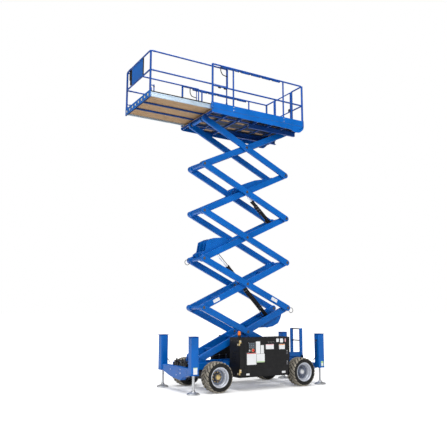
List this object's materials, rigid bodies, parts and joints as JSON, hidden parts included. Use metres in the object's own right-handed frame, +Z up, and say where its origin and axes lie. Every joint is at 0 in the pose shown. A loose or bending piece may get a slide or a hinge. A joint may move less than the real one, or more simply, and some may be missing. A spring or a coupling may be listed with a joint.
{
  "type": "scissor lift",
  "caption": "Rough-terrain scissor lift with outriggers: a scissor stack raises a railed platform with a sliding extension over a steered four-wheel chassis.",
  "frame": {"origin": "centre of the whole bounding box, on the ground", "axes": "+X towards the rear (ladder end), away from the platform extension; +Y to the side of the hydraulic cover, away from the engine cover; +Z up"},
  "size_m": [4.721, 1.788, 7.4431],
  "materials": {
    "blue_paint": "glossy",
    "black_paint": "textured satin",
    "wheel_silver": "satin",
    "tyre": "matte, dusty tread",
    "chrome": "polished",
    "cast_iron": "matte",
    "plywood": "raw",
    "aluminium": "mill",
    "amber": "clear gloss"
  },
  "bodies": {
    "chassis": {"chassis_frame": "blue_paint", "left_slide_channel": "blue_paint", "right_slide_channel": "blue_paint", "front_axle": "cast_iron", "rear_axle": "cast_iron", "engine_cover": "black_paint", "engine_block": "cast_iron", "hydraulic_cover": "black_paint", "hydraulic_tank": "cast_iron", "beacon": "amber", "ladder": "blue_paint", "front_outrigger_beam": "blue_paint", "rear_outrigger_beam": "blue_paint", "front_left_outrigger_tube": "blue_paint", "front_right_outrigger_tube": "blue_paint", "rear_left_outrigger_tube": "blue_paint", "rear_right_outrigger_tube": "blue_paint"},
    "inner_arms_1": {"inner_arms_1": "blue_paint"},
    "outer_arms_1": {"outer_arms_1": "blue_paint"},
    "inner_arms_2": {"inner_arms_2": "blue_paint"},
    "outer_arms_2": {"outer_arms_2": "blue_paint"},
    "inner_arms_3": {"inner_arms_3": "blue_paint"},
    "outer_arms_3": {"outer_arms_3": "blue_paint"},
    "inner_arms_4": {"inner_arms_4": "blue_paint"},
    "outer_arms_4": {"outer_arms_4": "blue_paint"},
    "inner_arms_5": {"inner_arms_5": "blue_paint"},
    "outer_arms_5": {"outer_arms_5": "blue_paint"},
    "platform": {"platform_frame": "blue_paint", "left_platform_band": "blue_paint", "right_platform_band": "blue_paint", "platform_deck": "plywood", "platform_rails": "blue_paint"},
    "lower_cylinder_barrel": {"lower_cylinder_barrel": "black_paint"},
    "lower_cylinder_rod": {"lower_cylinder_rod": "chrome"},
    "upper_cylinder_barrel": {"upper_cylinder_barrel": "black_paint"},
    "upper_cylinder_rod": {"upper_cylinder_rod": "chrome"},
    "extension": {"extension_frame": "aluminium", "extension_deck": "plywood", "extension_rails": "blue_paint", "rail_panel": "blue_paint", "platform_control_box": "black_paint"},
    "entry_gate": {"entry_gate": "blue_paint"},
    "engine_door": {"engine_door": "black_paint", "ground_control_box": "black_paint"},
    "hydraulic_door": {"hydraulic_door": "black_paint"},
    "left_knuckle": {"left_steering_knuckle": "cast_iron"},
    "right_knuckle": {"right_steering_knuckle": "cast_iron"},
    "tie_rod": {"tie_rod": "cast_iron"},
    "front_left_wheel": {"front_left_tyre": "tyre", "front_left_rim": "wheel_silver"},
    "front_left_leg": {"front_left_outrigger_leg": "chrome"},
    "front_right_wheel": {"front_right_tyre": "tyre", "front_right_rim": "wheel_silver"},
    "front_right_leg": {"front_right_outrigger_leg": "chrome"},
    "rear_left_wheel": {"rear_left_tyre": "tyre", "rear_left_rim": "wheel_silver"},
    "rear_left_leg": {"rear_left_outrigger_leg": "chrome"},
    "rear_right_wheel": {"rear_right_tyre": "tyre", "rear_right_rim": "wheel_silver"},
    "rear_right_leg": {"rear_right_outrigger_leg": "chrome"}
  },
  "joints": [
    {"name": "scissor_lift", "type": "hinge", "parent": "chassis", "child": "inner_arms_1", "pos_m": [-0.7765, 0, 0.7], "axis": [0, -1, 0], "range_deg": [-21.12, 35.53]},
    {"name": "centre_pin_1", "type": "hinge", "parent": "inner_arms_1", "child": "outer_arms_1", "pos_m": [0.39774, 0, 1.25431], "axis": [0, -1, 0], "range_deg": [-71.56, 42.74]},
    {"name": "end_pin_1", "type": "hinge", "parent": "outer_arms_1", "child": "inner_arms_2", "pos_m": [-0.7765, 0, 1.80862], "axis": [0, -1, 0], "range_deg": [-42.74, 71.56]},
    {"name": "centre_pin_2", "type": "hinge", "parent": "inner_arms_2", "child": "outer_arms_2", "pos_m": [0.39774, 0, 2.36293], "axis": [0, -1, 0], "range_deg": [-71.56, 42.74]},
    {"name": "end_pin_2", "type": "hinge", "parent": "outer_arms_2", "child": "inner_arms_3", "pos_m": [-0.7765, 0, 2.91724], "axis": [0, -1, 0], "range_deg": [-42.74, 71.56]},
    {"name": "centre_pin_3", "type": "hinge", "parent": "inner_arms_3", "child": "outer_arms_3", "pos_m": [0.39774, 0, 3.47155], "axis": [0, -1, 0], "range_deg": [-71.56, 42.74]},
    {"name": "end_pin_3", "type": "hinge", "parent": "outer_arms_3", "child": "inner_arms_4", "pos_m": [-0.7765, 0, 4.02586], "axis": [0, -1, 0], "range_deg": [-42.74, 71.56]},
    {"name": "centre_pin_4", "type": "hinge", "parent": "inner_arms_4", "child": "outer_arms_4", "pos_m": [0.39774, 0, 4.58017], "axis": [0, -1, 0], "range_deg": [-71.56, 42.74]},
    {"name": "end_pin_4", "type": "hinge", "parent": "outer_arms_4", "child": "inner_arms_5", "pos_m": [-0.7765, 0, 5.13448], "axis": [0, -1, 0], "range_deg": [-42.74, 71.56]},
    {"name": "centre_pin_5", "type": "hinge", "parent": "inner_arms_5", "child": "outer_arms_5", "pos_m": [0.39774, 0, 5.68878], "axis": [0, -1, 0], "range_deg": [-71.56, 42.74]},
    {"name": "platform_pivot", "type": "hinge", "parent": "outer_arms_5", "child": "platform", "pos_m": [-0.7765, 0, 6.24309], "axis": [0, -1, 0], "range_deg": [-21.62, 36.03]},
    {"name": "lower_cylinder_swing", "type": "hinge", "parent": "inner_arms_1", "child": "lower_cylinder_barrel", "pos_m": [1.32171, 0, 1.48258], "axis": [0, -1, 0], "range_deg": [-64.45, 38.52]},
    {"name": "lower_cylinder_stroke", "type": "slide", "parent": "lower_cylinder_barrel", "child": "lower_cylinder_rod", "axis": [-0.6957, 0, 0.7183], "range_m": [-0.5948, 0.9972]},
    {"name": "upper_cylinder_swing", "type": "hinge", "parent": "inner_arms_3", "child": "upper_cylinder_barrel", "pos_m": [1.35558, 0, 3.91154], "axis": [0, -1, 0], "range_deg": [-72.27, 43.16]},
    {"name": "upper_cylinder_stroke", "type": "slide", "parent": "upper_cylinder_barrel", "child": "upper_cylinder_rod", "axis": [-0.7359, 0, 0.6771], "range_m": [-0.2262, 0.3771]},
    {"name": "extension_slide", "type": "slide", "parent": "platform", "child": "extension", "axis": [1, 0, 0], "range_m": [0, 1.52]},
    {"name": "gate_swing", "type": "hinge", "parent": "platform", "child": "entry_gate", "pos_m": [1.8195, 0.36, 6.94309], "axis": [0, 0, -1], "range_deg": [0, 90]},
    {"name": "engine_door_swing", "type": "hinge", "parent": "chassis", "child": "engine_door", "pos_m": [-0.1515, -0.856, 0.7], "axis": [0, 0, -1], "range_deg": [0, 95]},
    {"name": "hydraulic_door_swing", "type": "hinge", "parent": "chassis", "child": "hydraulic_door", "pos_m": [0.3035, 0.856, 0.7], "axis": [0, 0, 1], "range_deg": [0, 95]},
    {"name": "steering_left", "type": "hinge", "parent": "chassis", "child": "left_knuckle", "pos_m": [-0.6495, -0.53, 0.327], "axis": [0, 0, 1], "range_deg": [-30, 30]},
    {"name": "steering_right", "type": "hinge", "parent": "chassis", "child": "right_knuckle", "pos_m": [-0.6495, 0.53, 0.327], "axis": [0, 0, 1], "range_deg": [-30.5, 30.5]},
    {"name": "tie_rod_slide", "type": "slide", "parent": "chassis", "child": "tie_rod", "axis": [0, 1, 0], "range_m": [-0.07, 0.07]},
    {"name": "front_left_wheel_spin", "type": "hinge", "parent": "left_knuckle", "child": "front_left_wheel", "pos_m": [-0.6495, -0.7235, 0.327], "axis": [0, 1, 0], "continuous": true},
    {"name": "front_right_wheel_spin", "type": "hinge", "parent": "right_knuckle", "child": "front_right_wheel", "pos_m": [-0.6495, 0.7235, 0.327], "axis": [0, 1, 0], "continuous": true},
    {"name": "rear_left_wheel_spin", "type": "hinge", "parent": "chassis", "child": "rear_left_wheel", "pos_m": [1.6405, -0.7235, 0.327], "axis": [0, 1, 0], "continuous": true},
    {"name": "rear_right_wheel_spin", "type": "hinge", "parent": "chassis", "child": "rear_right_wheel", "pos_m": [1.6405, 0.7235, 0.327], "axis": [0, 1, 0], "continuous": true},
    {"name": "front_left_leg_slide", "type": "slide", "parent": "chassis", "child": "front_left_leg", "axis": [0, 0, 1], "range_m": [0, 0.3]},
    {"name": "front_right_leg_slide", "type": "slide", "parent": "chassis", "child": "front_right_leg", "axis": [0, 0, 1], "range_m": [0, 0.3]},
    {"name": "rear_left_leg_slide", "type": "slide", "parent": "chassis", "child": "rear_left_leg", "axis": [0, 0, 1], "range_m": [0, 0.3]},
    {"name": "rear_right_leg_slide", "type": "slide", "parent": "chassis", "child": "rear_right_leg", "axis": [0, 0, 1], "range_m": [0, 0.3]}
  ],
  "couplings": [
    {"joint": "centre_pin_1", "follows": "scissor_lift", "ratio": -2},
    {"joint": "end_pin_1", "follows": "scissor_lift", "ratio": 2},
    {"joint": "centre_pin_2", "follows": "scissor_lift", "ratio": -2},
    {"joint": "end_pin_2", "follows": "scissor_lift", "ratio": 2},
    {"joint": "centre_pin_3", "follows": "scissor_lift", "ratio": -2},
    {"joint": "end_pin_3", "follows": "scissor_lift", "ratio": 2},
    {"joint": "centre_pin_4", "follows": "scissor_lift", "ratio": -2},
    {"joint": "end_pin_4", "follows": "scissor_lift", "ratio": 2},
    {"joint": "centre_pin_5", "follows": "scissor_lift", "ratio": -2},
    {"joint": "platform_pivot", "follows": "scissor_lift", "ratio": 1},
    {"joint": "lower_cylinder_swing", "follows": "scissor_lift", "ratio": -1.8},
    {"joint": "lower_cylinder_stroke", "follows": "scissor_lift", "m_per_rad": 1.6},
    {"joint": "upper_cylinder_swing", "follows": "scissor_lift", "ratio": -2.02},
    {"joint": "upper_cylinder_stroke", "follows": "scissor_lift", "m_per_rad": 0.6},
    {"joint": "steering_right", "follows": "steering_left", "ratio": 1},
    {"joint": "tie_rod_slide", "follows": "steering_left", "m_per_rad": 0.13}
  ]
}
